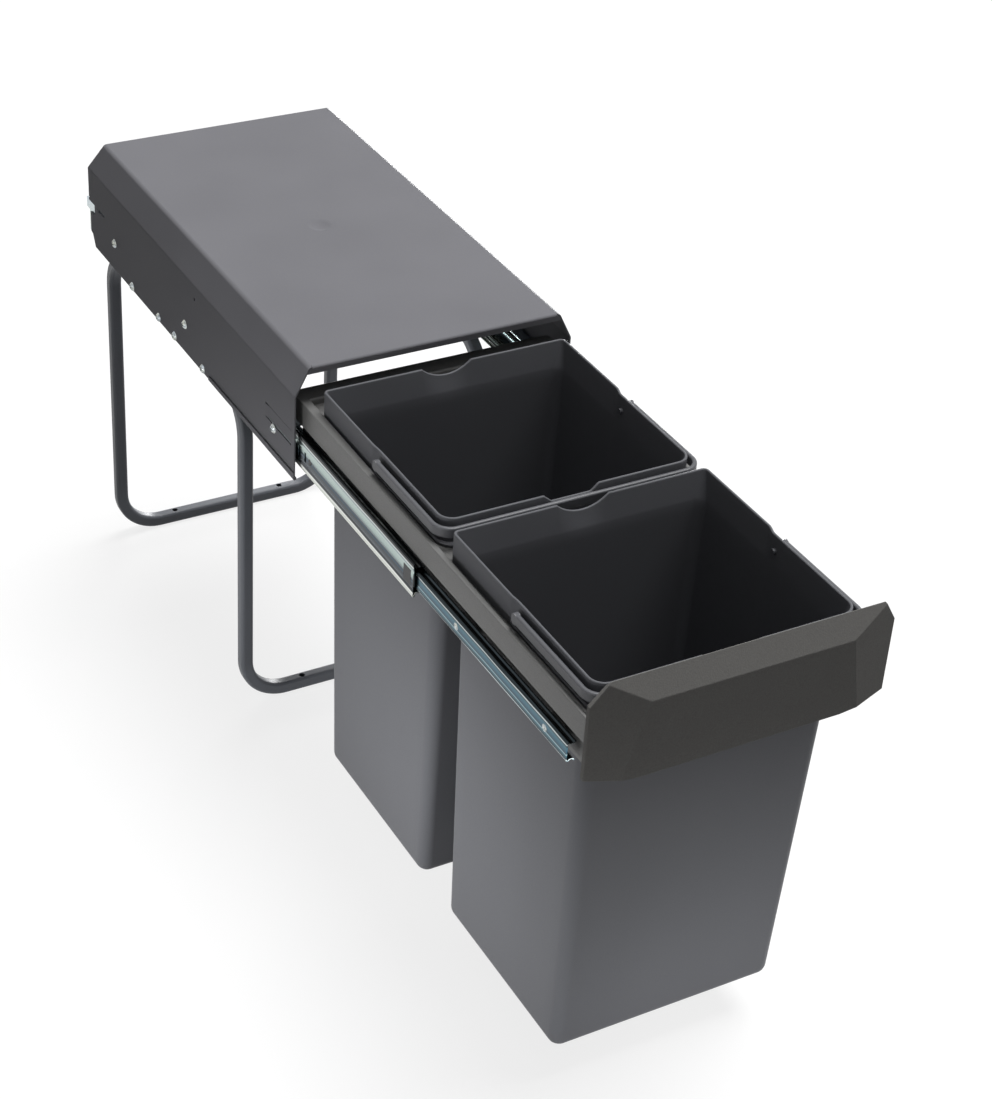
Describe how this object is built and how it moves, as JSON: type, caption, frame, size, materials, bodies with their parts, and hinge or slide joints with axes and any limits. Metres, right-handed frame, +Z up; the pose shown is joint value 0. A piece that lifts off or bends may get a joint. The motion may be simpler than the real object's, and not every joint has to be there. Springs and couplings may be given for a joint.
{
  "type": "pull out bin frame",
  "caption": "Floor-mounted pull out bin frame: a sheet cover on tube legs, ball slides, and a carrier with lift-out bins, bail handles and a faceted front.",
  "frame": {"origin": "centre of the four floor holes, on the floor", "axes": "+X to the right and +Y away from a person who faces the front panel, +Z up"},
  "size_m": [0.259, 0.931, 0.422],
  "materials": {
    "cover_paint": "satin powder coat",
    "leg_paint": "satin powder coat",
    "zinc_screws": "zinc plated",
    "zinc_rails": "zinc plated",
    "cage_steel": "plain",
    "ball_steel": "polished",
    "stop_plastic": "matte",
    "carrier_plastic": "satin",
    "panel_plastic": "fine texture",
    "bin_plastic": "satin",
    "bail_plastic": "satin"
  },
  "bodies": {
    "base": {"top_cover": "cover_paint", "front_leg": "leg_paint", "rear_leg": "leg_paint", "leg_screws": "zinc_screws", "slide_screws": "zinc_screws", "left_outer_rail": "zinc_rails", "right_outer_rail": "zinc_rails"},
    "drawer": {"left_inner_rail": "zinc_rails", "right_inner_rail": "zinc_rails", "rail_screws": "zinc_screws", "bin_carrier": "carrier_plastic", "front_panel": "panel_plastic", "panel_screws": "zinc_screws"},
    "left_middle": {"left_middle_rail": "zinc_rails", "left_middle_stops": "stop_plastic"},
    "left_outer_cage": {"left_outer_cage": "cage_steel", "left_outer_balls": "ball_steel"},
    "left_inner_cage": {"left_inner_cage": "cage_steel", "left_inner_balls": "ball_steel"},
    "right_middle": {"right_middle_rail": "zinc_rails", "right_middle_stops": "stop_plastic"},
    "right_outer_cage": {"right_outer_cage": "cage_steel", "right_outer_balls": "ball_steel"},
    "right_inner_cage": {"right_inner_cage": "cage_steel", "right_inner_balls": "ball_steel"},
    "rear_bin": {"rear_bin": "bin_plastic"},
    "rear_bail": {"rear_bail": "bail_plastic"},
    "front_bin": {"front_bin": "bin_plastic"},
    "front_bail": {"front_bail": "bail_plastic"}
  },
  "joints": [
    {"name": "drawer_slide", "type": "slide", "parent": "base", "child": "drawer", "axis": [0, -1, 0], "range_m": [-0.43, 0]},
    {"name": "left_middle_slide", "type": "slide", "parent": "base", "child": "left_middle", "axis": [0, -1, 0], "range_m": [-0.215, 0]},
    {"name": "left_outer_cage_slide", "type": "slide", "parent": "base", "child": "left_outer_cage", "axis": [0, -1, 0], "range_m": [-0.1075, 0]},
    {"name": "left_inner_cage_slide", "type": "slide", "parent": "base", "child": "left_inner_cage", "axis": [0, -1, 0], "range_m": [-0.3225, 0]},
    {"name": "right_middle_slide", "type": "slide", "parent": "base", "child": "right_middle", "axis": [0, -1, 0], "range_m": [-0.215, 0]},
    {"name": "right_outer_cage_slide", "type": "slide", "parent": "base", "child": "right_outer_cage", "axis": [0, -1, 0], "range_m": [-0.1075, 0]},
    {"name": "right_inner_cage_slide", "type": "slide", "parent": "base", "child": "right_inner_cage", "axis": [0, -1, 0], "range_m": [-0.3225, 0]},
    {"name": "rear_bin_lift", "type": "slide", "parent": "drawer", "child": "rear_bin", "axis": [0, 0, 1], "range_m": [0, 0.4]},
    {"name": "rear_bail_hinge", "type": "hinge", "parent": "rear_bin", "child": "rear_bail", "pos_m": [0, -0.395, 0.392], "axis": [-1, 0, 0], "range_deg": [0, 95]},
    {"name": "front_bin_lift", "type": "slide", "parent": "drawer", "child": "front_bin", "axis": [0, 0, 1], "range_m": [0, 0.4]},
    {"name": "front_bail_hinge", "type": "hinge", "parent": "front_bin", "child": "front_bail", "pos_m": [0, -0.613, 0.392], "axis": [-1, 0, 0], "range_deg": [0, 95]}
  ],
  "couplings": [
    {"joint": "left_middle_slide", "follows": "drawer_slide", "ratio": 0.5},
    {"joint": "left_outer_cage_slide", "follows": "drawer_slide", "ratio": 0.25},
    {"joint": "left_inner_cage_slide", "follows": "drawer_slide", "ratio": 0.75},
    {"joint": "right_middle_slide", "follows": "drawer_slide", "ratio": 0.5},
    {"joint": "right_outer_cage_slide", "follows": "drawer_slide", "ratio": 0.25},
    {"joint": "right_inner_cage_slide", "follows": "drawer_slide", "ratio": 0.75}
  ]
}
